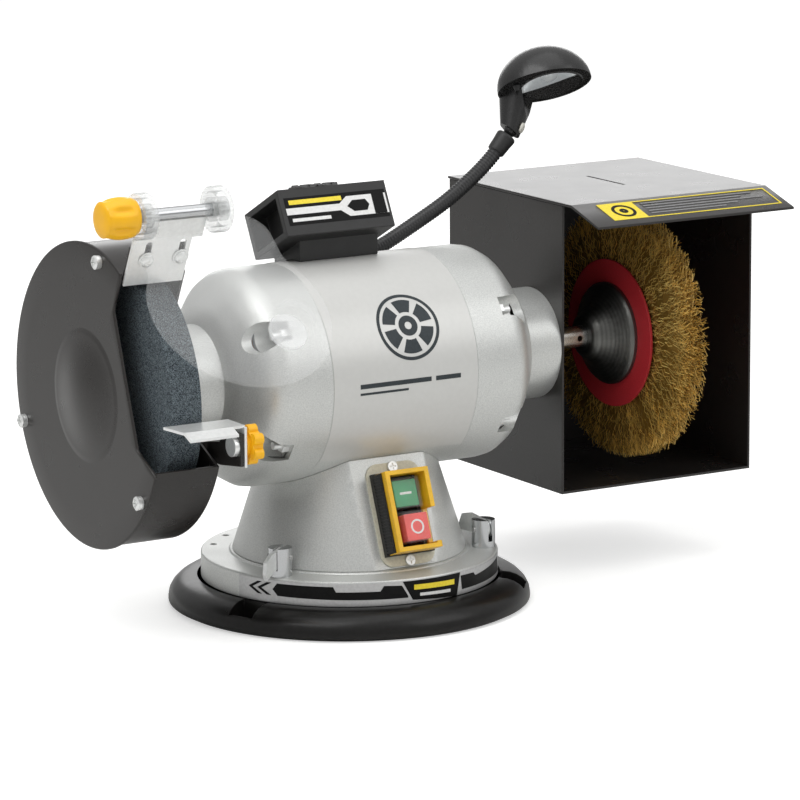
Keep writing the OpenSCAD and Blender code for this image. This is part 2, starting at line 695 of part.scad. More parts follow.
lamp_y = 50;
neck_tube_r = 6;
foot_x = 50;
foot_z = 257;
knuckle = [54.5, 263.3];
neck_a = [54, 260];
neck_b = [149, 310];
neck_c = [180, 344];
chin_foot = [neck_c[0], lamp_y, neck_c[1]];
chin_end = [192.5, 59.4, 370.0];
chin_r = [7.5, 15];
chin_low = 4;
hood_mid = [205.8, 41, 378.3];
hood_turn = [-29.8, -11.3, -30.3];
hood_len = 37.5;
hood_r = 31.3;
bulb_at = [5, 2];
bowl_r = 24;
bezel_z = [0.5, 2.5];
switch_at = [-22, -12, -4.6];

// Turns the z axis from point p towards point q, both [x, z] in the lamp's plane
module along(p, q) translate([p[0], lamp_y, p[1]])
    rotate([0, 90 - atan2(q[1] - p[1], q[0] - p[0]), 0]) children();

// A ribbed flexible tube
module ribbed(length) rotate_extrude() polygon(concat([[0, 0]],
    [for (i = [0:floor(length / 3) - 1]) each [[neck_tube_r - 0.8, i * 3], [neck_tube_r, i * 3 + 0.8],
        [neck_tube_r, i * 3 + 2.2]]],
    [[neck_tube_r - 0.8, length], [0, length]]));

module lamp_foot() color(black) difference() {
    translate([foot_x, lamp_y, 238]) cylinder(r = 9, h = foot_z - 238);
    on_shaft(-100) cylinder(r = housing_r + label_t, h = 250);
}

module gooseneck_lower() color(black) union() {
    translate([foot_x, lamp_y, foot_z + 0.3]) cylinder(r = 6.5, h = 4.5);
    translate([knuckle[0], lamp_y, knuckle[1]]) sphere(r = 5.8);
    along(neck_a, neck_b) translate([0, 0, 5]) ribbed(norm(neck_b - neck_a) - 12);
}

module gooseneck_upper() color(black) union() {
    translate([neck_b[0], lamp_y, neck_b[1]]) sphere(r = 5.5);
    along(neck_b, neck_c) ribbed(norm(neck_c - neck_b) - 8);
    along(neck_b, neck_c) translate([0, 0, norm(neck_c - neck_b) - 15]) cylinder(r = 8, h = 9.5);
}

// Moves to the middle of the hood's rim: x towards its tip, z up into the dome
module on_hood() translate(hood_mid) rotate(hood_turn) children();

// A solid egg whose long axis is x
module egg(inset) rotate([0, 90, 0]) rotate_extrude() polygon([for (t = [0:7.5:180])
    [(hood_r - inset) * sin(t), -(hood_len - inset) * cos(t)]]);

// A cone from the ball joint up into the hood's rim
module chin() translate(chin_foot) rotate([0, acos((chin_end - chin_foot)[2] / norm(chin_end - chin_foot)),
    atan2((chin_end - chin_foot)[1], (chin_end - chin_foot)[0])])
    translate([0, 0, -chin_low])
        cylinder(r1 = chin_r[0], r2 = chin_r[1], h = norm(chin_end - chin_foot) + chin_low);

// A half-egg shell with a flat bezel inside its rim, on a chin that ends in a ball
module lamp_hood() color(black) difference() {
    union() {
        on_hood() difference() {
            egg(0);
            egg(2);
            translate([-100, -100, -200]) cube(200);
        }
        on_hood() intersection() {
            egg(1);
            translate([-100, -100, bezel_z[0]]) cube([200, 200, bezel_z[1] - bezel_z[0]]);
        }
        intersection() {
            chin();
            on_hood() translate([-100, -100, bezel_z[1] - 200]) cube(200);
            translate(chin_foot) rotate([0, 45, 0]) translate([-50, -50, -1]) cube(100);
        }
        translate(chin_foot) sphere(r = 5.5);
    }
    on_hood() translate([bulb_at[0], bulb_at[1], -30]) cylinder(r = bowl_r, h = 50);
}

// The bowl behind the bezel's opening, with the bulb's glass dome in the middle of it
module lamp_reflector() color([0.85, 0.85, 0.85]) on_hood() translate([bulb_at[0], bulb_at[1], 0]) union() {
    difference() {
        translate([0, 0, bezel_z[0]]) cylinder(r1 = bowl_r - 0.1, r2 = 12, h = 18);
        translate([0, 0, bezel_z[0] - 1]) cylinder(r1 = bowl_r - 1.5, r2 = 10, h = 17.5);
    }
    translate([0, 0, 10]) cylinder(r1 = 5, r2 = 8, h = 8);
}

module lamp_switch() color(black) on_hood() translate(switch_at) cylinder(r1 = 1.5, r2 = 3, h = 4.4);

// ---------------------------------------------------------------- assembly

base_ring();
pivot_bolt();
thrust_washer();
pivot_nut();
turntable_disc();
disc_label();
pedestal();
pedestal_screws();
clamp_posts();
clamp_pins();
clamp_lever_left();
clamp_lever_right();
clamp_lever_back();
motor_housing();
motor_label();
end_bell_left();
end_bell_right();
tie_bolts();
stator_core();
windings();
bearings();
capacitor();
cable_gland();
shaft();
rotor_core();
grinding_wheel();
wheel_flanges();
shaft_nuts();
brush_flanges();
wire_brush();
brush_cup();
wheel_guard();
wheel_guard_cover();
guard_screws();
brush_guard_box();
brush_guard_top();
switch_plate();
switch_screws();
switch_body();
switch_frame();
start_button();
stop_button();
shield_bracket();
shield_rod();
shield_screws();
eye_shield();
shield_knob();
tool_rest_arm();
tool_rest();
tool_rest_bolt();
tool_rest_knob();
dresser_holder();
dresser_body();
dresser_cutters();
lamp_foot();
gooseneck_lower();
gooseneck_upper();
lamp_hood();
lamp_reflector();
lamp_switch();
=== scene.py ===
"""Bench grinder: the looks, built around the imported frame. All lengths are in metres."""
import json
import math
import random

import bmesh
import bpy
from mathutils import Matrix, Vector


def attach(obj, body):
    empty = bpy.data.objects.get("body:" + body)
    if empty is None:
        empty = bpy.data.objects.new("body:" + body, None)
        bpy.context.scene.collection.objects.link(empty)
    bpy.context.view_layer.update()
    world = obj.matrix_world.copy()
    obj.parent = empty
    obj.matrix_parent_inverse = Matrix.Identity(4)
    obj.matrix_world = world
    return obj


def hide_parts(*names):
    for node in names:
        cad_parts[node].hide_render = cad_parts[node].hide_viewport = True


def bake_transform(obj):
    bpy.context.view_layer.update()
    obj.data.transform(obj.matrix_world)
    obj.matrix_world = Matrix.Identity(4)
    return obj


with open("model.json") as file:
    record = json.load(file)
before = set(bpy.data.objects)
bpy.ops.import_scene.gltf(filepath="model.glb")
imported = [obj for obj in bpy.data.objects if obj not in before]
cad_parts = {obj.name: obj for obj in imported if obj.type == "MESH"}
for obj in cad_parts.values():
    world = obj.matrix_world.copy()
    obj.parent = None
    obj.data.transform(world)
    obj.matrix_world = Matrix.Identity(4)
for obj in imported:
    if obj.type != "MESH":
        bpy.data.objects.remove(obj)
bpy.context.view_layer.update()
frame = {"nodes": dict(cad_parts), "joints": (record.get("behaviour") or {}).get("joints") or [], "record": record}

MM = 0.001
X, Y, Z = Vector((1, 0, 0)), Vector((0, 1, 0)), Vector((0, 0, 1))
JOINTS = {j["name"]: j for j in frame["joints"]}
SLOTS = {s["node"]: s["material_slot"] for s in frame["record"]["subparts"]}
SHAFT = Vector(JOINTS["rotor_spin"]["pos_m"])
SHAFT_Z = SHAFT.z / MM


# ---------------------------------------------------------------- camera, floor and light

def unit(azimuth, elevation):
    """The direction from the object to a viewer; azimuth 0 is in front, on -Y."""
    a, e = math.radians(azimuth), math.radians(elevation)
    return Vector((math.sin(a) * math.cos(e), -math.cos(a) * math.cos(e), math.sin(e)))


def make_camera():
    """The photo's view: a long lens, a little above the machine and to its left."""
    azimuth, elevation, roll = -31.175, 11.467, math.radians(-0.307)
    distance, target = 3.58035, Vector((0.04664, 0, 0.15088))
    back = unit(azimuth, elevation)
    right = (-back).cross(Z).normalized()
    up = right.cross(-back)
    right, up = (right * math.cos(roll) + up * math.sin(roll),
                 up * math.cos(roll) - right * math.sin(roll))
    data = bpy.data.cameras.new("camera")
    data.lens = 209.09
    data.sensor_width = 36
    data.clip_end = 30
    camera = bpy.data.objects.new("camera", data)
    turn = Matrix((right, up, back)).transposed().to_4x4()
    camera.matrix_world = Matrix.Translation(target + back * distance) @ turn
    bpy.context.collection.objects.link(camera)
    bpy.context.scene.camera = camera


def make_area_light(name, azimuth, elevation, distance, size, power):
    """A soft panel that faces the middle of the machine."""
    data = bpy.data.lights.new(name, "AREA")
    data.shape = "RECTANGLE"
    data.size, data.size_y = size
    data.energy = power
    light = bpy.data.objects.new(name, data)
    direction = unit(azimuth, elevation)
    aim = Vector((0.05, 0, 0.2))
    light.location = aim + direction * distance
    light.rotation_euler = direction.to_track_quat("Z", "Y").to_euler()
    bpy.context.collection.objects.link(light)


def make_floor(material):
    """A plain sheet, just under the base so that the two don't flicker."""
    half = 8.0
    corners = [(-half, -half, 0), (half, -half, 0), (half, half, 0), (-half, half, 0)]
    mesh = bpy.data.meshes.new("floor")
    mesh.from_pydata(corners, [], [(0, 1, 2, 3)])
    floor = bpy.data.objects.new("floor", mesh)
    floor.location.z = -0.0002
    floor.data.materials.append(material)
    bpy.context.collection.objects.link(floor)


def make_world():
    """A white backdrop to look at; the light that reaches the object is dimmest near the horizon."""
    world = bpy.data.worlds.new("studio")
    world.use_nodes = True
    nodes, links = world.node_tree.nodes, world.node_tree.links
    place = nodes.new("ShaderNodeTexCoord")
    split = nodes.new("ShaderNodeSeparateXYZ")
    tone = nodes.new("ShaderNodeValToRGB")
    links.new(place.outputs["Generated"], split.inputs["Vector"])
    stretch = nodes.new("ShaderNodeMapRange")
    stretch.inputs["From Min"].default_value = -1
    links.new(split.outputs["Z"], stretch.inputs["Value"])
    links.new(stretch.outputs["Result"], tone.inputs["Fac"])
    tone.color_ramp.elements[0].color = (0.75, 0.75, 0.75, 1)
    tone.color_ramp.elements[1].color = (1, 1, 1, 1)
    for position, grey in ((0.44, 0.5), (0.6, 0.62), (0.78, 0.85)):
        tone.color_ramp.elements.new(position).color = (grey, grey, grey, 1)
    studio = nodes["Background"]
    studio.inputs["Strength"].default_value = 0.75
    links.new(tone.outputs["Color"], studio.inputs["Color"])
    backdrop = nodes.new("ShaderNodeBackground")
    backdrop.inputs["Color"].default_value = (1, 1, 1, 1)
    seen, mix = nodes.new("ShaderNodeLightPath"), nodes.new("ShaderNodeMixShader")
    links.new(seen.outputs["Is Camera Ray"], mix.inputs["Fac"])
    links.new(studio.outputs["Background"], mix.inputs[1])
    links.new(backdrop.outputs["Background"], mix.inputs[2])
    links.new(mix.outputs["Shader"], nodes["World Output"].inputs["Surface"])
    bpy.context.scene.world = world
    bpy.context.scene.view_settings.view_transform = "Standard"


# ---------------------------------------------------------------- materials

def new_material(name, color, metallic=0.0, roughness=0.5, **sockets):
    """A Principled material; sockets are named with underscores for spaces."""
    material = bpy.data.materials.new(name)
    material.use_nodes = True
    shader = material.node_tree.nodes["Principled BSDF"]
    shader.inputs["Base Color"].default_value = (*color, 1)
    shader.inputs["Metallic"].default_value = metallic
    shader.inputs["Roughness"].default_value = roughness
    for socket, value in sockets.items():
        shader.inputs[socket.replace("_", " ")].default_value = value
    return material


def add(material, kind, **values):
    """A new node in the material, with its settings."""
    node = material.node_tree.nodes.new(kind)
    for name, value in values.items():
        setattr(node, name, value)
    return node


def link(material, source, target):
    """Joins two sockets of the material's nodes."""
    material.node_tree.links.new(source, target)


def coordinates(material, stretch=(1, 1, 1)):
    """Object coordinates, stretched along an axis where a finish has a direction."""
    place = add(material, "ShaderNodeTexCoord")
    mapping = add(material, "ShaderNodeMapping")
    mapping.inputs["Scale"].default_value = stretch
    link(material, place.outputs["Object"], mapping.inputs["Vector"])
    return mapping.outputs["Vector"]


def noise(material, size, detail=3.0, stretch=(1, 1, 1)):
    """Noise whose grains are about size metres across."""
    texture = add(material, "ShaderNodeTexNoise")
    texture.inputs["Scale"].default_value = 1 / size
    texture.inputs["Detail"].default_value = detail
    link(material, coordinates(material, stretch), texture.inputs["Vector"])
    return texture.outputs["Fac"]


def ramp(material, value, low, high, start=0.35, end=0.65):
    """Turns a value into a colour between low and high."""
    node = add(material, "ShaderNodeValToRGB")
    node.color_ramp.elements[0].position = start
    node.color_ramp.elements[1].position = end
    node.color_ramp.elements[0].color = (*low, 1)
    node.color_ramp.elements[1].color = (*high, 1)
    link(material, value, node.inputs["Fac"])
    return node.outputs["Color"]


def spread(material, value, low, high):
    """Turns a value from 0.3-0.7 into a number between low and high."""
    node = add(material, "ShaderNodeMapRange")
    for name, number in (("From Min", 0.3), ("From Max", 0.7), ("To Min", low), ("To Max", high)):
        node.inputs[name].default_value = number
    link(material, value, node.inputs["Value"])
    return node.outputs["Result"]


def bump(material, value, depth):
    """Turns a value into a relief depth metres deep."""
    node = add(material, "ShaderNodeBump")
    node.inputs["Distance"].default_value = depth
    link(material, value, node.inputs["Height"])
    shader = material.node_tree.nodes["Principled BSDF"]
    link(material, node.outputs["Normal"], shader.inputs["Normal"])


def set_input(material, socket, output):
    """Feeds an output into an input of the material's shader."""
    link(material, output, material.node_tree.nodes["Principled BSDF"].inputs[socket])


def painted(name, low, high, metallic, roughness, grain, depth,
            coat=0.0, coat_roughness=0.1, gloss=0.5):
    """Sprayed paint: a fine mottled colour, uneven gloss and an orange-peel surface."""
    material = new_material(name, high, metallic, 0.5, Coat_Weight=coat, Coat_Roughness=coat_roughness,
                            Specular_IOR_Level=gloss)
    fine = noise(material, grain)
    set_input(material, "Base Color", ramp(material, fine, low, high))
    broad = noise(material, 0.03, 2.0)
    set_input(material, "Roughness", spread(material, broad, *roughness))
    bump(material, fine, depth)
    return material


def machined(name, color, roughness, grain=0.0015, stretch=(30, 1, 1), depth=0.00002):
    """Bare metal with fine lines along one direction."""
    material = new_material(name, color, 1.0, 0.3)
    lines = noise(material, grain, 4.0, stretch)
    low = [c * 0.82 for c in color]
    set_input(material, "Base Color", ramp(material, lines, low, color))
    set_input(material, "Roughness", spread(material, lines, *roughness))
    bump(material, lines, depth)
    return material


def moulded(name, color, roughness, depth=0.00003, grain=0.0008, shade=0.85):
    """Moulded plastic: slight colour drift and a fine sparked texture."""
    material = new_material(name, color, 0.0, 0.4)
    low = [c * shade for c in color]
    set_input(material, "Base Color", ramp(material, noise(material, 0.012, 2.0), low, color))
    fine = noise(material, grain, 2.0)
    set_input(material, "Roughness", spread(material, fine, *roughness))
    bump(material, fine, depth)
    return material


def gritty(name):
    """Bonded abrasive: light and dark grains about half a millimetre across."""
    material = new_material(name, (0.1, 0.12, 0.14), 0.0, 0.9)
    cells = add(material, "ShaderNodeTexVoronoi")
    cells.inputs["Scale"].default_value = 2100
    link(material, coordinates(material), cells.inputs["Vector"])
    grey = add(material, "ShaderNodeRGBToBW")
    link(material, cells.outputs["Color"], grey.inputs["Color"])
    tone = ramp(material, grey.outputs["Val"], (0.008, 0.014, 0.02), (0.22, 0.27, 0.3), 0.28, 0.85)
    set_input(material, "Base Color", tone)
    bump(material, cells.outputs["Distance"], 0.0006)
    return material


def wire_metal(name):
    """Brass-coated wire, brighter and darker from strand to strand."""
    material = new_material(name, (0.8, 0.6, 0.25), 0.6, 0.3)
    strands = add(material, "ShaderNodeAttribute", attribute_name="strand")
    tone = ramp(material, strands.outputs["Fac"], (0.2, 0.1, 0.01), (1.0, 0.72, 0.22), 0.0, 0.7)
    set_input(material, "Base Color", tone)
    set_input(material, "Roughness", spread(material, noise(material, 0.002), 0.3, 0.5))
    return material


def clear(name, tint, alpha):
    """Clear plastic with a slight milky veil, which builds up to pale edges."""
    material = new_material(name, tint, 0.0, 0.05, Alpha=alpha)
    material.surface_render_method = "BLENDED"
    fine = noise(material, 0.02, 2.0)
    set_input(material, "Base Color", ramp(material, fine, [c * 0.94 for c in tint], tint))
    set_input(material, "Roughness", spread(material, fine, 0.04, 0.1))
    return material


def turned(name, color, roughness, pitch=0.0004, depth=0.00002):
    """Metal turned on a lathe about the shaft: fine rings round X."""
    material = new_material(name, color, 1.0, 0.3)
    waves = add(material, "ShaderNodeTexWave", wave_type="RINGS", rings_direction="X")
    waves.inputs["Scale"].default_value = 0.05 / pitch
    waves.inputs["Distortion"].default_value = 0.4
    place = add(material, "ShaderNodeTexCoord")
    shift = add(material, "ShaderNodeMapping")
    shift.inputs["Location"].default_value = -SHAFT
    link(material, place.outputs["Object"], shift.inputs["Vector"])
    link(material, shift.outputs["Vector"], waves.inputs["Vector"])
    low = [c * 0.8 for c in color]
    set_input(material, "Base Color", ramp(material, waves.outputs["Fac"], low, color, 0.0, 1.0))
    set_input(material, "Roughness", spread(material, noise(material, 0.006), *roughness))
    bump(material, waves.outputs["Fac"], depth)
    return material


def new_floor():
    """A pale sweep, lifted to white where it is looked at and not where it lights the object."""
    material = new_material("floor_white", (0.78, 0.78, 0.77), 0.0, 0.7, Specular_IOR_Level=0.1,
                            Emission_Color=(1, 1, 1, 1))
    tone = ramp(material, noise(material, 0.05), (0.76, 0.76, 0.75), (0.8, 0.8, 0.79))
    set_input(material, "Base Color", tone)
    seen = add(material, "ShaderNodeLightPath")
    level = add(material, "ShaderNodeMath", operation="MULTIPLY")
    level.inputs[1].default_value = 0.5
    link(material, seen.outputs["Is Camera Ray"], level.inputs[0])
    set_input(material, "Emission Strength", level.outputs["Value"])
    return material


M = {
    # paints
    "silver_paint": painted("silver_paint", (0.58, 0.59, 0.575), (0.7, 0.71, 0.69), 0.6,
                            (0.38, 0.44), 0.0009, 0.00005),
    "gloss_black": painted("gloss_black", (0.006, 0.0055, 0.005), (0.009, 0.0085, 0.008), 0.0,
                           (0.28, 0.34), 0.004, 0.00002, coat=0.05, coat_roughness=0.2, gloss=0.3),
    "black_paint": painted("black_paint", (0.017, 0.015, 0.0138), (0.025, 0.0225, 0.021), 0.0,
                           (0.27, 0.29), 0.0009, 0.000002, gloss=0.45),
    "red_paint": painted("red_paint", (0.42, 0.022, 0.03), (0.52, 0.032, 0.04), 0.0,
                         (0.32, 0.42), 0.001, 0.00003),
    "cream_plate": painted("cream_plate", (0.6, 0.57, 0.45), (0.68, 0.65, 0.52), 0.0,
                           (0.28, 0.36), 0.002, 0.00002),
    # printed sheets
    "label_sheet": painted("label_sheet", (0.62, 0.62, 0.6), (0.635, 0.635, 0.615), 0.2,
                           (0.34, 0.36), 0.004, 0.000001),
    "disc_label": painted("disc_label", (0.5, 0.5, 0.5), (0.56, 0.56, 0.56), 0.6,
                          (0.3, 0.36), 0.002, 0.00001),
    "label_black": painted("label_black", (0.003, 0.003, 0.003), (0.005, 0.005, 0.005), 0.0,
                           (0.4, 0.5), 0.002, 0.000001, gloss=0.15),
    "label_white": painted("label_white", (0.75, 0.75, 0.74), (0.82, 0.82, 0.81), 0.0,
                           (0.3, 0.4), 0.002, 0.00001),
    "label_grey": painted("label_grey", (0.2, 0.2, 0.2), (0.26, 0.26, 0.26), 0.0,
                          (0.35, 0.45), 0.002, 0.00001),
    "label_yellow": painted("label_yellow", (0.85, 0.66, 0.02), (0.95, 0.76, 0.03), 0.0,
                            (0.3, 0.4), 0.002, 0.00001),
    "emblem": painted("emblem", (0.03, 0.038, 0.042), (0.036, 0.045, 0.05), 0.0,
                      (0.4, 0.5), 0.002, 0.000001, gloss=0.3),
    # metals
    "zinc": painted("zinc", (0.84, 0.85, 0.84), (0.9, 0.91, 0.9), 0.6, (0.3, 0.34), 0.003, 0.0000003),
    "steel": machined("steel", (0.62, 0.62, 0.61), (0.24, 0.32), depth=0.000003),
    "chrome": machined("chrome", (0.6, 0.61, 0.62), (0.14, 0.2), 0.002, (1, 20, 20), 0.000002),
    "lamination": machined("lamination", (0.35, 0.35, 0.37), (0.35, 0.5), 0.0008, (60, 1, 1), 0.00005),
    "copper_wire": machined("copper_wire", (0.6, 0.28, 0.12), (0.3, 0.45), 0.001, (1, 20, 20), 0.0002),
    "dark_steel": machined("dark_steel", (0.12, 0.12, 0.12), (0.35, 0.5), 0.001, (1, 1, 1), 0.00005),
    "cup_steel": turned("cup_steel", (0.18, 0.18, 0.17), (0.36, 0.44)),
    "brass_wire": wire_metal("brass_wire"),
    "reflector": painted("reflector", (0.8, 0.82, 0.83), (0.95, 0.96, 0.96), 0.4,
                         (0.1, 0.2), 0.003, 0.0004),
    "abrasive": gritty("abrasive"),
    # plastics and rubber
    "nylon": moulded("nylon", (0.8, 0.78, 0.7), (0.35, 0.45)),
    "black_plastic": moulded("black_plastic", (0.018, 0.018, 0.018), (0.4, 0.55), 0.00006, 0.0006),
    "gloss_black_plastic": moulded("gloss_black_plastic", (0.017, 0.017, 0.017), (0.26, 0.28),
                                   0.0000005, 0.003),
    "gooseneck_rubber": moulded("gooseneck_rubber", (0.028, 0.028, 0.029), (0.3, 0.4), 0.00001),
    "yellow_plastic": moulded("yellow_plastic", (0.9, 0.52, 0.02), (0.25, 0.35), 0.00001),
    "amber_plastic": moulded("amber_plastic", (1.0, 0.52, 0.005), (0.3, 0.4), 0.00001, shade=0.95),
    "green_button": moulded("green_button", (0.015, 0.33, 0.12), (0.2, 0.3), 0.00001),
    "red_button": moulded("red_button", (0.85, 0.06, 0.045), (0.2, 0.3), 0.00001),
    # clear parts
    "clear_plastic": clear("clear_plastic", (0.92, 0.93, 0.93), 0.07),
    "clear_edge": clear("clear_edge", (0.78, 0.8, 0.79), 0.3),
    "clear_rim": clear("clear_rim", (0.42, 0.44, 0.44), 0.3),
    "clear_cap": clear("clear_cap", (0.95, 0.95, 0.93), 0.05),
    "bulb_glass": clear("bulb_glass", (0.95, 0.96, 0.96), 0.35),
}
# The reflector glows a little: painted light that stands in for the bright reflection inside the lamp's bowl.
reflector_glow_sockets = M["reflector"].node_tree.nodes["Principled BSDF"].inputs
reflector_glow_sockets["Emission Color"].default_value = (0.8, 0.84, 0.85, 1)
reflector_glow_sockets["Emission Strength"].default_value = 0.22


def dress_cad_nodes():
    """Every CAD node takes its slot's material, or a finer one for the cup, the rod and the clamp posts, and its
    edges are broken by a small bevel.
    """
    wide = {"pedestal": 0.8, "dresser_holder": 0.8, "turntable_disc": 0.6, "base_ring": 0.6,
            "switch_frame": 0.5, "wheel_guard_cover": 0.5, "eye_shield": 0.5,
            "brush_guard_top": 0.4, "brush_guard_box": 0.4, "wheel_guard": 0.3}
    narrow = 0.25
    finer = {"brush_cup": "cup_steel", "shield_rod": "chrome", "clamp_posts": "chrome"}
    for name, node in frame["nodes"].items():
        node.data.materials.clear()
        node.data.materials.append(M[finer.get(name, SLOTS[name])])
        node.data.shade_smooth()
        weld = node.modifiers.new("weld", "WELD")
        weld.merge_threshold = 2e-6
        flat = node.modifiers.new("flat", "DECIMATE")
        flat.decimate_type = "DISSOLVE"
        flat.angle_limit = math.radians(0.4)
        edge = node.modifiers.new("edge", "BEVEL")
        edge.width = wide.get(name, narrow) * MM
        edge.segments = 2
        edge.angle_limit = math.radians(35)
        edge.use_clamp_overlap = name not in wide
        even = node.modifiers.new("even", "WEIGHTED_NORMAL")
        even.weight = 80


# ---------------------------------------------------------------- mesh helpers, in millimetres

def placed(origin, z_axis, x_axis):
    """Maps millimetres in a frame at origin to metres in the shared frame."""
    z = Vector(z_axis).normalized()
    x = Vector(x_axis)
    x = (x - z * x.dot(z)).normalized()
    matrix = Matrix((x, z.cross(x), z)).transposed().to_4x4()
    return Matrix.Translation(Vector(origin) * MM) @ matrix @ Matrix.Scale(MM, 4)


class Shape:
    """Collects closed shells into one mesh."""

    def __init__(self):
        self.verts = []
        self.faces = []

    def rings(self, rings, ends="caps"):
        """Skins a run of equal rings; ends is caps, open or loop."""
        base, count = len(self.verts), len(rings[0])
        for ring in rings:
            self.verts.extend(ring)
        total = len(rings)
        for i in range(total if ends == "loop" else total - 1):
            for k in range(count):
                a, b = base + i * count, base + (i + 1) % total * count
                n = (k + 1) % count
                self.faces.append((a + k, a + n, b + n, b + k))
        if ends == "caps":
            self.faces.append(tuple(base + k for k in reversed(range(count))))
            self.faces.append(tuple(base + (total - 1) * count + k for k in range(count)))

    def lathe(self, matrix, profile, steps=64, form=None, loop=False):
        """Turns (radius, height) points round the frame's z axis."""
        rings = []
        for radius, height in profile:
            ring = []
            for k in range(steps):
                angle = 2 * math.pi * k / steps
                r = max(radius, 0.02) * (form(angle, height) if form else 1)
                ring.append(matrix @ Vector((r * math.cos(angle), r * math.sin(angle), height)))
            rings.append(ring)
        self.rings(rings, "loop" if loop else "caps")

    def prism(self, matrix, outline, low, high):
        """A flat outline pulled up from one height to another."""
        self.rings([[matrix @ Vector((x, y, z)) for x, y in outline] for z in (low, high)])

    def sheet(self, point, columns, rows, wrap=False):
        """A thin closed sheet; point(u, v, top) gives its two faces."""
        n, m = columns + (not wrap), rows + 1
        base = len(self.verts)
        for top in (0, 1):
            for i in range(n):
                for j in range(m):
                    self.verts.append(point(i / columns, j / rows, top))
        low = lambda i, j: base + i % n * m + j
        high = lambda i, j: low(i, j) + n * m
        for i in range(columns):
            for j in range(rows):
                self.faces.append((low(i, j), low(i, j + 1), low(i + 1, j + 1), low(i + 1, j)))
                self.faces.append((high(i, j), high(i + 1, j), high(i + 1, j + 1), high(i, j + 1)))
            self.faces.append((low(i, 0), low(i + 1, 0), high(i + 1, 0), high(i, 0)))
            self.faces.append((low(i + 1, rows), low(i, rows), high(i, rows), high(i + 1, rows)))
        if not wrap:
            for j in range(rows):
                self.faces.append((low(0, j + 1), low(0, j), high(0, j), high(0, j + 1)))
                self.faces.append((low(columns, j), low(columns, j + 1),
                                   high(columns, j + 1), high(columns, j)))

    def mesh(self, name):
        """The shells as mesh data, with every face turned outwards."""
        mesh = bpy.data.meshes.new(name)
        mesh.from_pydata([tuple(v) for v in self.verts], [], self.faces)
        bm = bmesh.new()
        bm.from_mesh(mesh)
        bmesh.ops.recalc_face_normals(bm, faces=bm.faces)
        bm.to_mesh(mesh)
        bm.free()
        return mesh

    def piece(self, name, material, body, smooth=35, bevel=0.0, replaces=()):
        """Links the shape as a piece that rides on a body."""
        mesh = self.mesh(name)
        mesh.materials.append(M[material])
        mesh.shade_smooth()
        mesh.set_sharp_from_angle(angle=math.radians(smooth))
        piece = bpy.data.objects.new(name, mesh)
        bpy.context.collection.objects.link(piece)
        if bevel:
            edge = piece.modifiers.new("edge", "BEVEL")
            edge.width = bevel * MM
            edge.segments = 2
            edge.angle_limit = math.radians(smooth)
            edge.harden_normals = True
        if body:
            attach(piece, body)
        if replaces:
            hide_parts(*replaces)
        return piece


def screw_head(shape, matrix, radius, height):
    """A pan head with a cross recess; z is up out of the work."""
    arm, reach, depth = radius * 0.14, radius * 0.62, height * 0.7
    rings = []
    for r in (0.02, arm * 1.6, reach, reach * 1.05, radius * 0.8, radius * 0.94, radius, radius):
        edge = math.asin(min(0.7, arm / max(r, arm * 1.5)))
        rim = height * (1 - 0.45 * max(0, r / radius - 0.5) ** 2 * 4)
        ring = []
        for quarter in range(4):
            for angle, deep in ((0, True), (edge, True), (edge * 1.25, False), (math.pi / 4, False),
                                (math.pi / 2 - edge * 1.25, False), (math.pi / 2 - edge, True)):
                z = rim - depth if (deep or r < arm) and r <= reach else rim
                a = angle + quarter * math.pi / 2
                ring.append(matrix @ Vector((r * math.cos(a), r * math.sin(a), z)))
        rings.append(ring)
    rings[-1] = [matrix @ Vector((*(matrix.inverted() @ v).to_2d(), 0)) for v in rings[-2]]
    shape.rings(rings)


def crowned(radius, height, round_by=1.0, steps=5):
    """The outline of a disc of this radius and height with a rounded upper edge."""
    arc = [(radius - round_by * (1 - math.cos(t)), height - round_by * (1 - math.sin(t)))
           for t in (math.pi / 2 * k / steps for k in range(steps + 1))]
    return [(0, 0), (radius, 0), *arc, (0, height)]


# ---------------------------------------------------------------- wire brush

# A wire is a run of triangles; the corners are angles in radians.
WIRE_STEPS = 8
WIRE_CORNERS = (0, 2.1, 4.2)


def crimped_wire(rng, centre, half):
    """One zigzag wire from the flanges to the rim, as a run of triangles."""
    angle, root = rng.uniform(0, 2 * math.pi), rng.uniform(-half, half)
    splay, lean = rng.uniform(-1.4, 1.4), rng.uniform(-0.08, 0.08)
    tip, thick = rng.uniform(95.5, 100), rng.uniform(0.22, 0.32)
    phase, pitch = rng.uniform(0, 2 * math.pi), rng.uniform(2.3, 3.3)
    start = 56
    rings = []
    for k in range(WIRE_STEPS + 1):
        t = k / WIRE_STEPS
        r = start + (tip - start) * t
        x = centre + root + splay * t + 1.2 * math.cos(phase + k * pitch)
        a = angle + lean * t * t + 1.7 * math.sin(phase + k * pitch) / r
        axis = Vector((x, -r * math.cos(a), r * math.sin(a)))
        across = Vector((0, math.sin(a), math.cos(a)))
        rings.append([(axis + (X * math.cos(b) + across * math.sin(b)) * thick) * MM + SHAFT
                      for b in WIRE_CORNERS])
    return rings


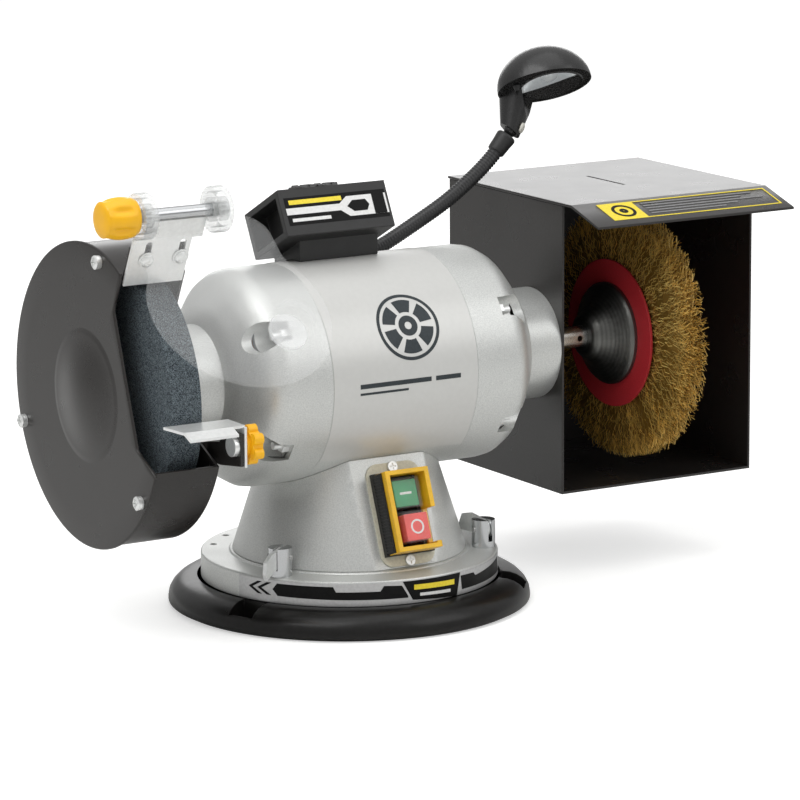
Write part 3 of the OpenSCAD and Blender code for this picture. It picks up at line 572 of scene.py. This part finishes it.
def wire_brush():
    """Thousands of crimped wires round a dense core in the darkest wire tone, painted shade deep between the
    wires, in two pieces that turn together.
    """
    rng = random.Random(7)
    centre, half, wires = 255, 11.3, 3300
    for part in range(2):
        shape, tones = Shape(), []
        for _ in range(wires):
            shape.rings(crimped_wire(rng, centre, half))
            tones += [rng.random()] * ((WIRE_STEPS + 1) * len(WIRE_CORNERS))
        if part:
            core = placed((centre, 0, SHAFT_Z), X, -Y)
            before = len(shape.verts)
            profile = [(50, -10), (82, -10), (90, -5), (90, 5), (82, 10), (50, 10)]
            shape.lathe(core, profile, 96, loop=True)
            # The core takes the darkest wire tone: painted shade deep between the wires.
            tones += [0.05] * (len(shape.verts) - before)
        brush = shape.piece(f"brush_wires_{part + 1}", "brass_wire", "rotor", replaces=("wire_brush",))
        strand = brush.data.attributes.new("strand", "FLOAT", "POINT")
        strand.data.foreach_set("value", tones)


# ---------------------------------------------------------------- wheel guard cover

def guard_cover():
    """The pressed cover: a disc with a straight notch at the front, a rolled rim and a shallow dome."""
    face, back = -225, -223.05
    outer, dome = 115, 50
    notch_angle, notch_half, notch_r, flare_r = 19, 38.5, 66, 13.5

    def rim(angle):
        """The rim's radius: a straight cut over the notch, and ends that flare out at 45 degrees."""
        psi = abs((angle - notch_angle + 180) % 360 - 180)
        a = math.radians(psi)
        if psi <= notch_half:
            return notch_r / math.cos(a)
        flare = math.cos(a) - math.sin(a)
        return min(outer, flare_r / flare) if flare > 0.01 else outer

    def height(r):
        """How far the dome stands out from the face."""
        if r >= dome:
            return 0.0
        t = r / dome
        return 6.5 * (0.5 + 0.5 * math.cos(math.pi * t)) ** 0.8 + 0.5

    def ring(of_rim, x):
        """One turn of points: of_rim gives a radius from the rim's, and x a place from the radius."""
        points = []
        for k in range(360):
            r = of_rim(rim(k))
            a = math.radians(k)
            points.append(Vector((x(r), -r * math.cos(a), SHAFT_Z + r * math.sin(a))) * MM)
        return points

    radii = (0.3, *range(3, dome, 3), dome, dome + 1)
    rings = [ring(lambda edge, r=r: min(r, edge), lambda r: face - height(r)) for r in radii]
    for t in (0.35, 0.7):
        rings.append(ring(lambda edge, t=t: dome + 1 + (edge - dome - 1) * t, lambda r: face))
    for inset, drop in ((1.6, 0), (0.8, 0.15), (0.25, 0.6), (0, 1.2)):
        rings.append(ring(lambda edge, inset=inset: edge - inset, lambda r, drop=drop: face + drop))
    rings.append(ring(lambda edge: edge, lambda r: back))
    rings += [ring(lambda edge, r=r: r, lambda r: back - height(r)) for r in reversed(radii)]
    shape = Shape()
    shape.rings(rings)
    shape.piece("guard_cover_shell", "black_paint", "turntable", smooth=50, replaces=("wheel_guard_cover",))


# ---------------------------------------------------------------- printed sheets

# The motor label's height above the housing, a print's thickness, and the housing's radius.
LABEL_LIFT, DECAL = 0.42, 0.14
HOUSING = 83


def on_motor(x, angle, lift):
    """A point on the motor's label; the angle runs up from the front."""
    a, r = math.radians(angle), HOUSING + lift
    return Vector((x, -r * math.cos(a), r * math.sin(a))) * MM + Vector((0, 0, SHAFT.z))


def motor_label_print():
    """A plain impeller sign over two bars."""
    sign = Shape()
    middle = (9.9, 29)

    def round_sign(inner, outer, start=0.0, end=360.0):
        """A ring or a blade of the sign, wrapped round the housing."""
        def point(u, v, top):
            a = math.radians(start + (end - start) * u)
            r = inner + (outer - inner) * v
            x = middle[0] + r * math.cos(a)
            angle = middle[1] + math.degrees(r * math.sin(a) / HOUSING)
            return on_motor(x, angle, LABEL_LIFT + DECAL * top)
        full = end - start >= 360
        sign.sheet(point, 96 if full else 24, 2, full)

    round_sign(24, 26.5)
    round_sign(3, 8)
    for k in range(6):
        round_sign(11, 21.5, k * 60 + 8, k * 60 + 52)
    sign.piece("motor_sign", "emblem", "turntable")
    bars = Shape()
    for x0, x1, low, high in ((-38, 24, -1.2, 1.2), (28, 50, -1.2, 1.2), (-38, 4, -4.6, -3.4)):
        def point(u, v, top):
            return on_motor(x0 + (x1 - x0) * u, low + (high - low) * v, LABEL_LIFT + DECAL * top)
        bars.sheet(point, 12, 2)
    bars.piece("motor_bars", "emblem", "turntable")


def between(table, s):
    """Straight-line lookup in a table of (s, value)."""
    for (s0, v0), (s1, v1) in zip(table, table[1:]):
        if s <= s1:
            return v0 + (v1 - v0) * (s - s0) / max(s1 - s0, 1e-9)
    return table[-1][1]


def disc_print():
    """The printed band round the turntable: chevrons, long stepped bars and a panel."""
    band_r = 114.62

    def strip(shape, low, high, extra=0.0):
        """A shape between two edges, each a list of (degrees round the disc, height)."""
        start, end = low[0][0], low[-1][0]
        stops = sorted({s for table in (low, high) for s, _ in table if start <= s <= end})
        marks = sorted(set(stops) | {start + (end - start) * k / 48 for k in range(49)})

        def point(u, v, top):
            s = marks[round(u * (len(marks) - 1))]
            z = between(low, s) + (between(high, s) - between(low, s)) * v
            a, r = math.radians(s), band_r + extra + DECAL * top
            return Vector((r * math.cos(a), r * math.sin(a), z)) * MM
        shape.sheet(point, len(marks) - 1, 1)

    black, yellow, white = Shape(), Shape(), Shape()
    for tip in (198.2, 202.4):
        for side in (1, -1):
            inner = [(tip, 32), (tip + 2, 32), (tip + 6.4, 32 + 4.8 * side)]
            outer = [(tip, 32 + 0.01 * side), (tip + 4.4, 32 + 4.8 * side), (tip + 6.4, 32 + 4.85 * side)]
            strip(black, *((inner, outer) if side > 0 else (outer, inner)))
    strip(black, [(209.4, 31.9), (211.5, 27.2), (262.1, 26.2)],
          [(209.4, 32.1), (211.3, 36.7), (233.4, 36.7), (234.5, 32.6), (251.2, 32.6), (252.6, 36.7),
           (259.6, 35.9), (262.1, 27.5)])
    strip(black, [(260, 38.4), (264, 24.1), (284.4, 21.3), (286.2, 38.2)],
          [(260, 38.8), (286.2, 38.8)], 0.02)
    strip(black, [(286.6, 35.8), (287.4, 25.2), (323.2, 24.7)],
          [(286.6, 36.1), (294.5, 35.6), (295.9, 32.9), (320.6, 36.3), (323.2, 26)])
    strip(yellow, [(264.5, 31.8), (283, 30.8)], [(264.5, 35.6), (283, 34.8)], 0.22)
    strip(white, [(267, 26.6), (281, 25.6)], [(267, 28.9), (281, 28)], 0.22)
    black.piece("disc_print_black", "label_black", "turntable")
    yellow.piece("disc_print_yellow", "label_yellow", "turntable")
    white.piece("disc_print_white", "label_white", "turntable")


# How far one printed layer lies over another.
LAYER = 0.16


def flat_print(name, material, matrix, outlines, lift=0.0):
    """Thin printed shapes on a face; lift sets one layer over another."""
    gap = 0.02
    shape = Shape()
    for outline in outlines:
        shape.prism(matrix, outline, lift + gap, lift + gap + DECAL)
    shape.piece(name, material, "turntable")


def box(x0, y0, x1, y1):
    """A rectangle between two corners."""
    return [(x0, y0), (x1, y0), (x1, y1), (x0, y1)]


def holder_print():
    """The dresser holder's front: a white band that splits round an arrow, with plain bars."""
    tilt = math.radians(-27)
    up = Vector((0, -math.sin(tilt), math.cos(tilt)))
    out = Vector((0, -math.cos(tilt), -math.sin(tilt)))
    front = placed(Vector((-57, 0, 323.5)) - up * 29, out, X)
    w, h = 88, 22

    def scaled(outline):
        return [(x * w, y * h) for x, y in outline]

    flat_print("holder_print_black", "label_black", front, [box(0, 0, w, h)])
    band = [(0, 0.38), (0.53, 0.38), (0.61, 0.14), (1, 0.14),
            (1, 0.86), (0.61, 0.86), (0.53, 0.62), (0, 0.62)]
    flat_print("holder_print_white", "label_white", front,
               [scaled(band), scaled(box(0.04, 0.12, 0.42, 0.24))], lift=LAYER)
    arrow = [(0.6, 0.5), (0.66, 0.3), (0.79, 0.3), (0.82, 0.5), (0.79, 0.7), (0.66, 0.7)]
    flat_print("holder_print_marks", "label_black", front,
               [scaled(arrow), scaled(box(0.86, 0.14, 0.98, 0.86))], lift=2 * LAYER)
    flat_print("holder_print_yellow", "label_yellow", front,
               [scaled(box(0.04, 0.74, 0.56, 0.9))], lift=LAYER)


def ring_outline(x, y, r, inner, steps=32):
    """A ring drawn as two half rings, so each outline is a simple closed one."""
    def arc(radius, start):
        angles = (start + math.pi * k / steps for k in range(steps + 1))
        return [(x + radius * math.cos(a), y + radius * math.sin(a)) for a in angles]

    return [arc(r, start) + arc(inner, start)[::-1] for start in (0, math.pi)]


def lid_print():
    """The visor's label: a yellow outline and block, a plain sign and thin grey bars."""
    run, drop, line = 38, 12, 1.3
    length = math.hypot(run, drop)
    along = Vector((0, -run, -drop)).normalized()
    out = along.cross(X)
    flap = placed(Vector((186, -58, 300)) + along * (0.8 * length), out, X)
    w, h = 157, 0.7 * length
    outline = [box(0, 0, w, line), box(0, h - line, w, h),
               box(0, line, line, h - line), box(w - line, line, w, h - line)]
    block = box(line, line, 32, h - line)
    flat_print("lid_print_yellow", "label_yellow", flap, outline + [block])
    sign = ring_outline(17, h / 2, 10, 7.4) + ring_outline(17, h / 2, 3.6, 0.6)
    flat_print("lid_print_black", "label_black", flap, sign, lift=LAYER)
    left, first, pitch, thick = 38, 5.5, 4.2, 1.6
    bars = [box(left, h - first - pitch * k, left + n, h - first + thick - pitch * k)
            for k, n in enumerate((104, 92, 110, 84, 70))]
    flat_print("lid_print_grey", "label_grey", flap, bars)


# ---------------------------------------------------------------- switch

PANEL_LEAN = math.radians(20.65)
PANEL_UP = Vector((0, math.sin(PANEL_LEAN), math.cos(PANEL_LEAN)))
PANEL_OUT = Vector((0, -PANEL_UP.z, PANEL_UP.y))


def panel(v):
    """A frame on the switch's face, v millimetres up from its middle."""
    return placed(Vector((2.5, -56, 122)) + PANEL_UP * (v - 44.6), PANEL_OUT, X)


def square(half, r=0.0, steps=4):
    """A square outline with rounded corners."""
    points = []
    for k, (sx, sy) in enumerate(((1, 1), (-1, 1), (-1, -1), (1, -1))):
        for j in range(steps + 1):
            a = math.pi / 2 * (k + j / steps)
            points.append((sx * (half - r) + r * math.cos(a), sy * (half - r) + r * math.sin(a)))
    return points


def push_button(name, body, material, v, top):
    """A coloured block under a clear cap, with its printed sign."""
    at, low, face = panel(v), -5, top - 2.6
    block = Shape()
    block.prism(at, square(10.2, 1.0), low, face)
    block.piece(name + "_block", material, body, bevel=0.5, replaces=(name,))
    cap = Shape()
    outer, rounded, inner, middle = square(12, 1.4), square(11.5, 1.2), square(10.9, 1.0), square(0.05, 0.02)
    layers = ((outer, low), (outer, top - 0.6), (rounded, top), (middle, top),
              (middle, top - 1.2), (inner, top - 1.2), (inner, low))
    cap.rings([[at @ Vector((x, y, z)) for x, y in outline] for outline, z in layers], "loop")
    cap.piece(name + "_cap", "clear_cap", body)
    sign = Shape()
    if name == "start_button":
        sign.prism(at, box(-5, -0.9, 5, 0.9), face, face + 0.15)
    else:
        ring = [(4.2, 0), (5.6, 0), (5.6, 0.15), (4.2, 0.15)]
        sign.lathe(at @ Matrix.Translation((0, 0, face)), ring, 48, loop=True)
    sign.piece(name + "_sign", "label_white", body)


def switch_ribs():
    """The black cheek at the left of the switch, with fine ribs."""
    ribs = Shape()
    first, pitch, count = -28.75, 2.5, 24
    ribs.prism(panel(0), box(-20.3, -30.5, -19.1, 30.5), 6.1, 17)
    for k in range(count):
        ribs.prism(panel(first + pitch * k), box(-20.9, -0.6, -20.2, 0.6), 6.2, 16)
    ribs.piece("switch_ribs", "black_plastic", "turntable")


# ---------------------------------------------------------------- knobs, screws and shield

# The shield's rod runs along X here.
ROD_Y, ROD_Z = -83, 329
SHIELD_LEAN = math.radians(50)


def knob(name, node, body, x, r, height):
    """A barrel knob on the shield's rod, with six oval dents for the fingers."""
    def form(angle, level):
        dent = max(0.0, math.cos(6 * angle)) ** 1.5
        window = math.exp(-((level - height * 0.52) / (height * 0.27)) ** 4)
        return 1 - 0.15 * dent * window
    profile = [(0, 0), (r * 0.62, 0)]
    for k in range(13):
        t = k / 12
        swell = math.sin(math.pi * min(1, t * 1.15)) ** 0.6
        profile.append((r * (0.86 + 0.14 * swell), 0.6 + t * (height - 2.6)))
    profile += [(r * 0.8, height - 1.2), (r * 0.66, height - 0.3), (r * 0.4, height), (0, height)]
    shape = Shape()
    shape.lathe(placed((x, ROD_Y, ROD_Z), -X, Z), profile, 96, form)
    shape.piece(name, "amber_plastic", body, smooth=50, replaces=(node,))


def boss():
    """A clear dished ring behind the shield's boss, turned a little out of the sheet's plane."""
    reach = Vector((0, -math.cos(SHIELD_LEAN), -math.sin(SHIELD_LEAN)))
    axis = Vector((0, -math.sin(SHIELD_LEAN), math.cos(SHIELD_LEAN)))
    middle = Vector((-145, ROD_Y, ROD_Z)) + reach * 112 + axis * 8.6
    profile = [(0, 0.6), (8, 0.8), (12.2, 2.4), (14.2, 2.6), (14.9, 1.6), (14.8, 0), (0, 0)]
    shape = Shape()
    shape.lathe(placed(middle, axis, X), profile, 72)
    # It takes the bulb's denser, whiter clear material: painted highlight for the lens's bright glints.
    shape.piece("shield_boss_ring", "bulb_glass", "shield")


def shield_rim():
    """A clear bead round the shield's largest facet that faces this way: a small one by the left ear."""
    facing = Vector((0, math.sin(SHIELD_LEAN), -math.cos(SHIELD_LEAN)))
    inset, radius, sides = 1.5, 1.55, 10
    bm = bmesh.new()
    bm.from_mesh(frame["nodes"]["eye_shield"].data)
    bmesh.ops.remove_doubles(bm, verts=bm.verts, dist=2e-6)
    bmesh.ops.dissolve_limit(bm, angle_limit=math.radians(0.5), verts=bm.verts, edges=bm.edges)
    facet = max((f for f in bm.faces if f.normal.dot(facing) > 0.99), key=lambda f: f.calc_area())
    outline = [v.co.copy() for v in facet.verts]
    bm.free()
    rings = []
    for before, here, after in zip(outline[-1:] + outline[:-1], outline, outline[1:] + outline[:1]):
        side = (after - before).normalized().cross(facing)
        middle = here - facing * inset * MM
        rings.append([middle + (side * math.cos(b) + facing * math.sin(b)) * radius * MM
                      for b in (2 * math.pi * n / sides for n in range(sides))])
    shape = Shape()
    shape.rings(rings, "loop")
    shape.piece("shield_rim", "clear_rim", "shield", smooth=60)


def ear_ridges():
    """Fine teeth round the shield's two ears."""
    def teeth(angle, level):
        return 1 + 0.035 * math.cos(30 * angle)

    shape = Shape()
    for x in (-224.5, -163):
        at = placed((x, ROD_Y, ROD_Z), X, Z)
        shape.lathe(at, [(13, -0.3), (16.8, -0.3), (16.8, 10.3), (13, 10.3)], 120, teeth, loop=True)
        shape.lathe(at, [(6.4, -1.2), (9, -1.2), (9, 11.2), (6.4, 11.2)], 48, loop=True)
    shape.piece("shield_ear_ridges", "clear_edge", "shield")


# ---------------------------------------------------------------- lamp

# Places and turns as in the part's source; the bulb's middle is in the hood's frame.
LAMP_Y = 50
NECK_TOP = (180, LAMP_Y, 344)
HOOD_AT, HOOD_TURN = (205.8, 41, 378.3), (-29.8, -11.3, -30.3)
BULB_X, BULB_Y = 5, 2
CHIN_SCREW_AT, CHIN_SCREW_OUT = (185.4, 43.5, 346.4), (0.62, -0.7, -0.3)


def smooth_path(points, per_span=12):
    """A Catmull-Rom curve through the points."""
    ends = [points[0] * 2 - points[1], *points, points[-1] * 2 - points[-2]]
    path = []
    for a, b, c, d in zip(ends, ends[1:], ends[2:], ends[3:]):
        for k in range(per_span):
            t = k / per_span
            path.append(0.5 * ((2 * b) + (c - a) * t + (2 * a - 5 * b + 4 * c - d) * t * t
                               + (3 * b - a - 3 * c + d) * t ** 3))
    return path + [points[-1]]


def gooseneck():
    """One ribbed sleeve that bends between the arm and the neck."""
    corners = [(50, 257.6), (53, 260.8), (64, 264.5), (88.7, 276.5), (114.4, 289.8),
               (128.2, 298.2), (140.2, 306.6), (152.3, 315.8), (164, 326.3), (172.5, 336.2)]
    path = smooth_path([Vector((x, LAMP_Y, z)) for x, z in corners])
    lengths = [0.0]
    for p, q in zip(path, path[1:]):
        lengths.append(lengths[-1] + (q - p).length)
    total, pitch, per, sides = lengths[-1], 2.5, 4, 28
    count = int(total / pitch * per)
    rings = []
    for k in range(count + 1):
        s = total * k / count
        i = max(j for j, length in enumerate(lengths[:-1]) if length <= s + 1e-9)
        span = lengths[i + 1] - lengths[i]
        p = path[i].lerp(path[i + 1], (s - lengths[i]) / span)
        tangent = (path[i + 1] - path[i]).normalized()
        side = tangent.cross(Y).normalized()
        r = 4.8 + 1.2 * math.sin(math.pi * (k % per + 0.5) / per)
        rings.append([(p + (Y * math.cos(b) + side * math.sin(b)) * r) * MM
                      for b in (2 * math.pi * n / sides for n in range(sides))])
    shape = Shape()
    shape.rings(rings)
    sleeve = shape.piece("gooseneck_sleeve", "gooseneck_rubber", None, smooth=60,
                         replaces=("gooseneck_lower", "gooseneck_upper"))
    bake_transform(sleeve)


def gooseneck_ends():
    """The black foot on the motor and the black collar under the hood."""
    foot = Shape()
    foot.lathe(placed((50, LAMP_Y, 257.35), Z, X), crowned(8.2, 4.6, 1.5), 48)
    foot.piece("gooseneck_foot", "black_plastic", "lamp_arm")
    direction = Vector((31, 0, 34)).normalized()
    start = Vector(NECK_TOP) - direction * 22
    profile = [(0, 0), (5.8, 0), (6.8, 0.7), (7.1, 2), (7.5, 9), (8, 14), (8, 15.4), (7.4, 16.4), (0, 16.5)]
    collar = Shape()
    collar.lathe(placed(start, direction, Y), profile, 48)
    collar.piece("gooseneck_collar", "black_plastic", "lamp_neck")


def turned_frame(rx, ry, rz):
    """The turn that OpenSCAD writes as rotate([rx, ry, rz])."""
    x, y, z = (Matrix.Rotation(math.radians(a), 4, axis) for a, axis in ((rx, "X"), (ry, "Y"), (rz, "Z")))
    return z @ y @ x


def lamp_front():
    """The bezel's raised ring, the bulb and a dark plate in the hood's mouth, which paints shade over the lower
    part of the bowl.
    """
    hood = Matrix.Translation(Vector(HOOD_AT) * MM) @ turned_frame(*HOOD_TURN) @ Matrix.Scale(MM, 4)
    ring = Shape()
    ring.lathe(hood @ Matrix.Translation((BULB_X, BULB_Y, 0.5)),
               [(24.1, 0), (24.3, -0.8), (25.3, -0.9), (25.9, 0)], 72, loop=True)
    ring.piece("lamp_bezel_ring", "gloss_black_plastic", "lamp_head", smooth=60)
    bulb = Shape()
    bulb.lathe(hood @ Matrix.Translation((BULB_X, BULB_Y, 0)),
               [(0, 3.4), (3.4, 4.2), (6.2, 6.4), (7.4, 9.6), (6.6, 13), (4.6, 16), (0, 16)], 48)
    bulb.piece("lamp_bulb", "bulb_glass", "lamp_head")
    # A dark plate across the lower part of the bowl: painted shade where the bowl's wall lies in shadow.
    radius, first, sweep, steps = 24, -25.5, 192, 24
    edge = [(-14, 6.4), (-6, 4.4), (2, 1.8), (10, -1.4), (18, -4.9)]
    angles = (math.radians(first + sweep * k / steps) for k in range(steps + 1))
    arc = [(BULB_X + radius * math.cos(a), BULB_Y + radius * math.sin(a)) for a in angles]
    shade = Shape()
    shade.prism(hood, edge + arc, -0.2, 0.5)
    shade.piece("lamp_painted_shade_plate", "gloss_black_plastic", "lamp_head")


def lamp_screw():
    """The pale screw at the hood's chin."""
    at, out, sunk = Vector(CHIN_SCREW_AT), Vector(CHIN_SCREW_OUT).normalized(), 9
    screw = Shape()
    screw_head(screw, placed(at, out, X), 4.4, 2.2)
    screw.lathe(placed(at - out * sunk, out, X), [(0, 0), (2, 0), (2, sunk + 0.2), (0, sunk + 0.2)], 24)
    screw.piece("lamp_screw", "nylon", "lamp_head", smooth=30)


def cover_screws():
    """Rounded screw heads on the wheel guard's cover."""
    face, radius = -228.02, 107
    heads = Shape()
    for angle in (-19.8, 103.9, 217.6):
        a = math.radians(angle)
        at = (face, radius * math.cos(a), SHAFT_Z + radius * math.sin(a))
        screw_head(heads, placed(at, -X, Z), 5.2, 2.2)
    heads.piece("cover_screw_heads", "zinc", "turntable", smooth=30)


def bracket_screws():
    """Pan heads that hold the shield's bracket."""
    lean = math.radians(115.9)
    up = Vector((0, math.cos(lean), math.sin(lean)))
    out = X.cross(up)
    heads = Shape()
    for x in (-208, -180):
        at = Vector((x, -55, 275)) + up * 22 + out * 3.3
        screw_head(heads, placed(at, out, up), 5.2, 3.0)
    heads.piece("bracket_screw_heads", "zinc", "turntable", smooth=30)


make_camera()
make_world()
make_area_light("key", -70, 55, 2.2, (1.6, 1.2), 17)
make_area_light("fill", 35, 35, 2.4, (1.5, 1.5), 9)
make_area_light("top", 0, 88, 2.0, (1.8, 1.8), 8)
make_area_light("back", 149, 14, 2.4, (1.8, 0.7), 7.5)
make_floor(new_floor())
dress_cad_nodes()
wire_brush()
guard_cover()
motor_label_print()
disc_print()
holder_print()
lid_print()
push_button("start_button", "start_button", "green_button", 13.5, 17)
push_button("stop_button", "stop_button", "red_button", -13.5, 25)
switch_ribs()
knob("shield_knob_grip", "shield_knob", "shield_knob", -226, 15.5, 28)
boss()
shield_rim()
ear_ridges()
gooseneck()
gooseneck_ends()
lamp_front()
lamp_screw()
cover_screws()
bracket_screws()
